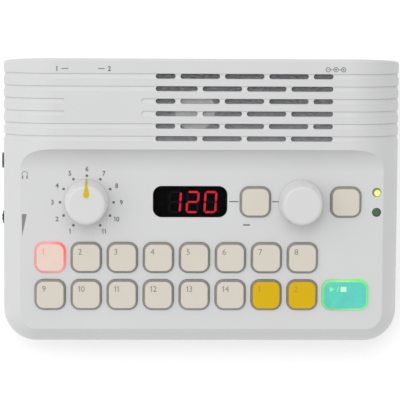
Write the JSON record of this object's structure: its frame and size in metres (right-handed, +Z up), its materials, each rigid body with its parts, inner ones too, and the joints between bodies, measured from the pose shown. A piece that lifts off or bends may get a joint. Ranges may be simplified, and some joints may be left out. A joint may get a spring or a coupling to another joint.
{
  "type": "drum machine",
  "caption": "Tabletop drum machine: loaf-shaped case with a ribbed speaker block and a sloping panel of sprung keys, two knobs, a digit display and lamps; sockets and wheel on the edges.",
  "frame": {"origin": "on the standing surface, below the middle of the case's width and depth", "axes": "+X to the player's right, +Y to the rear, +Z up"},
  "size_m": [0.2071, 0.146, 0.063],
  "materials": {
    "upper_shell": "fine-grained light grey ABS",
    "lower_shell": "fine-grained light grey ABS",
    "feet": "matt",
    "screw_steel": "dark zinc",
    "cloth": "woven, dark grey",
    "window": "smoked acrylic, polished",
    "module": "satin",
    "lit_lamp": "clear tinted, lit",
    "dark_lamp": "clear tinted, unlit",
    "knob": "satin light grey",
    "pointer": "mustard yellow",
    "shaft_steel": "turned",
    "black_plastic": "moulded black",
    "silicone": "translucent silicone",
    "chip": "small lights",
    "board": "green solder mask",
    "basket_steel": "black paint",
    "magnet": "plated steel cup",
    "surround": "treated cloth roll",
    "paper": "pressed paper cone with a grey dust cap",
    "switch_steel": "tin-plated can",
    "wheel_plastic": "moulded dark grey",
    "contact_steel": "nickel-plated spring sheet",
    "ribbon": "grey ribbon cable",
    "wire": "insulated wire",
    "cream_key": "painted cream cap on a dark translucent body",
    "lit_key": "cream cap lit pink from below, red translucent body",
    "mustard_key": "painted mustard cap on a dark translucent body",
    "green_key": "painted green cap on a lit green body"
  },
  "bodies": {
    "case": {"upper_case": "upper_shell", "lower_case": "lower_shell", "rubber_feet": "feet", "case_screws": "screw_steel", "board_screws": "screw_steel", "main_board_screws": "screw_steel", "speaker_screws": "screw_steel", "speaker_cloth": "cloth", "display_window": "window", "display_module": "module", "pattern_lamp": "lit_lamp", "pad_lamp": "dark_lamp", "selector_switch": "black_plastic", "value_encoder": "black_plastic", "key_mat": "silicone", "key_lights": "chip", "panel_board": "board", "main_board": "board", "speaker_basket": "basket_steel", "speaker_magnet": "magnet", "speaker_surround": "surround", "foot_jack_1": "black_plastic", "foot_jack_2": "black_plastic", "headphone_jack": "black_plastic", "dc_inlet": "black_plastic", "power_switch": "switch_steel", "volume_control": "black_plastic", "battery_contacts": "contact_steel", "board_ribbon": "ribbon", "speaker_wires": "wire"},
    "selector": {"selector_knob": "knob", "selector_pointer": "pointer", "selector_shaft": "shaft_steel"},
    "value_dial": {"value_knob": "knob", "value_shaft": "shaft_steel"},
    "volume": {"volume_wheel": "wheel_plastic"},
    "door": {"battery_door": "lower_shell"},
    "switch_slider": {"power_slider": "black_plastic"},
    "cone": {"speaker_cone": "paper"},
    "key_1": {"key_1": "lit_key"},
    "key_2": {"key_2": "cream_key"},
    "key_3": {"key_3": "cream_key"},
    "key_4": {"key_4": "cream_key"},
    "key_5": {"key_5": "cream_key"},
    "key_6": {"key_6": "cream_key"},
    "key_7": {"key_7": "cream_key"},
    "key_8": {"key_8": "cream_key"},
    "key_9": {"key_9": "cream_key"},
    "key_10": {"key_10": "cream_key"},
    "key_11": {"key_11": "cream_key"},
    "key_12": {"key_12": "cream_key"},
    "key_13": {"key_13": "cream_key"},
    "key_14": {"key_14": "cream_key"},
    "fill_key_1": {"fill_key_1": "mustard_key"},
    "fill_key_2": {"fill_key_2": "mustard_key"},
    "tap_key": {"tap_key": "cream_key"},
    "mode_key": {"mode_key": "cream_key"},
    "play_key": {"play_key": "green_key"}
  },
  "joints": [
    {"name": "key_1_press", "type": "slide", "parent": "case", "child": "key_1", "axis": [0, 0.1288, -0.9917], "range_m": [0, 0.001], "stiffness_N_per_m": 400, "springref_m": -0.0005, "deforming": ["key_mat"]},
    {"name": "key_2_press", "type": "slide", "parent": "case", "child": "key_2", "axis": [0, 0.1288, -0.9917], "range_m": [0, 0.001], "stiffness_N_per_m": 400, "springref_m": -0.0005, "deforming": ["key_mat"]},
    {"name": "key_3_press", "type": "slide", "parent": "case", "child": "key_3", "axis": [0, 0.1288, -0.9917], "range_m": [0, 0.001], "stiffness_N_per_m": 400, "springref_m": -0.0005, "deforming": ["key_mat"]},
    {"name": "key_4_press", "type": "slide", "parent": "case", "child": "key_4", "axis": [0, 0.1288, -0.9917], "range_m": [0, 0.001], "stiffness_N_per_m": 400, "springref_m": -0.0005, "deforming": ["key_mat"]},
    {"name": "key_5_press", "type": "slide", "parent": "case", "child": "key_5", "axis": [0, 0.1288, -0.9917], "range_m": [0, 0.001], "stiffness_N_per_m": 400, "springref_m": -0.0005, "deforming": ["key_mat"]},
    {"name": "key_6_press", "type": "slide", "parent": "case", "child": "key_6", "axis": [0, 0.1288, -0.9917], "range_m": [0, 0.001], "stiffness_N_per_m": 400, "springref_m": -0.0005, "deforming": ["key_mat"]},
    {"name": "key_7_press", "type": "slide", "parent": "case", "child": "key_7", "axis": [0, 0.1288, -0.9917], "range_m": [0, 0.001], "stiffness_N_per_m": 400, "springref_m": -0.0005, "deforming": ["key_mat"]},
    {"name": "key_8_press", "type": "slide", "parent": "case", "child": "key_8", "axis": [0, 0.1288, -0.9917], "range_m": [0, 0.001], "stiffness_N_per_m": 400, "springref_m": -0.0005, "deforming": ["key_mat"]},
    {"name": "key_9_press", "type": "slide", "parent": "case", "child": "key_9", "axis": [0, 0.1288, -0.9917], "range_m": [0, 0.001], "stiffness_N_per_m": 400, "springref_m": -0.0005, "deforming": ["key_mat"]},
    {"name": "key_10_press", "type": "slide", "parent": "case", "child": "key_10", "axis": [0, 0.1288, -0.9917], "range_m": [0, 0.001], "stiffness_N_per_m": 400, "springref_m": -0.0005, "deforming": ["key_mat"]},
    {"name": "key_11_press", "type": "slide", "parent": "case", "child": "key_11", "axis": [0, 0.1288, -0.9917], "range_m": [0, 0.001], "stiffness_N_per_m": 400, "springref_m": -0.0005, "deforming": ["key_mat"]},
    {"name": "key_12_press", "type": "slide", "parent": "case", "child": "key_12", "axis": [0, 0.1288, -0.9917], "range_m": [0, 0.001], "stiffness_N_per_m": 400, "springref_m": -0.0005, "deforming": ["key_mat"]},
    {"name": "key_13_press", "type": "slide", "parent": "case", "child": "key_13", "axis": [0, 0.1288, -0.9917], "range_m": [0, 0.001], "stiffness_N_per_m": 400, "springref_m": -0.0005, "deforming": ["key_mat"]},
    {"name": "key_14_press", "type": "slide", "parent": "case", "child": "key_14", "axis": [0, 0.1288, -0.9917], "range_m": [0, 0.001], "stiffness_N_per_m": 400, "springref_m": -0.0005, "deforming": ["key_mat"]},
    {"name": "fill_key_1_press", "type": "slide", "parent": "case", "child": "fill_key_1", "axis": [0, 0.1288, -0.9917], "range_m": [0, 0.001], "stiffness_N_per_m": 400, "springref_m": -0.0005, "deforming": ["key_mat"]},
    {"name": "fill_key_2_press", "type": "slide", "parent": "case", "child": "fill_key_2", "axis": [0, 0.1288, -0.9917], "range_m": [0, 0.001], "stiffness_N_per_m": 400, "springref_m": -0.0005, "deforming": ["key_mat"]},
    {"name": "tap_key_press", "type": "slide", "parent": "case", "child": "tap_key", "axis": [0, 0.1288, -0.9917], "range_m": [0, 0.001], "stiffness_N_per_m": 400, "springref_m": -0.0005, "deforming": ["key_mat"]},
    {"name": "mode_key_press", "type": "slide", "parent": "case", "child": "mode_key", "axis": [0, 0.1288, -0.9917], "range_m": [0, 0.001], "stiffness_N_per_m": 400, "springref_m": -0.0005, "deforming": ["key_mat"]},
    {"name": "play_key_press", "type": "slide", "parent": "case", "child": "play_key", "axis": [0, 0.1288, -0.9917], "range_m": [0, 0.001], "stiffness_N_per_m": 400, "springref_m": -0.0005, "deforming": ["key_mat"]},
    {"name": "selector_turn", "type": "hinge", "parent": "case", "child": "selector", "pos_m": [-0.0599, -0.00024, 0.04683], "axis": [0, -0.1288, 0.9917], "range_deg": [-150, 150]},
    {"name": "value_turn", "type": "hinge", "parent": "case", "child": "value_dial", "pos_m": [0.0511, -0.00024, 0.04683], "axis": [0, -0.1288, 0.9917], "continuous": true},
    {"name": "volume_turn", "type": "hinge", "parent": "case", "child": "volume", "pos_m": [-0.09685, -0.0084, 0.0216], "axis": [0, 0, 1], "range_deg": [-140, 140]},
    {"name": "battery_door_swing", "type": "hinge", "parent": "case", "child": "door", "pos_m": [0, 0.00085, 0.003], "axis": [1, 0, 0], "range_deg": [0, 40]},
    {"name": "power_slide", "type": "slide", "parent": "case", "child": "switch_slider", "axis": [1, 0, 0], "range_m": [0, 0.004]},
    {"name": "cone_travel", "type": "slide", "parent": "case", "child": "cone", "axis": [0, -0.1288, 0.9917], "range_m": [-0.001, 0.001], "stiffness_N_per_m": 600, "deforming": ["speaker_surround"]}
  ]
}
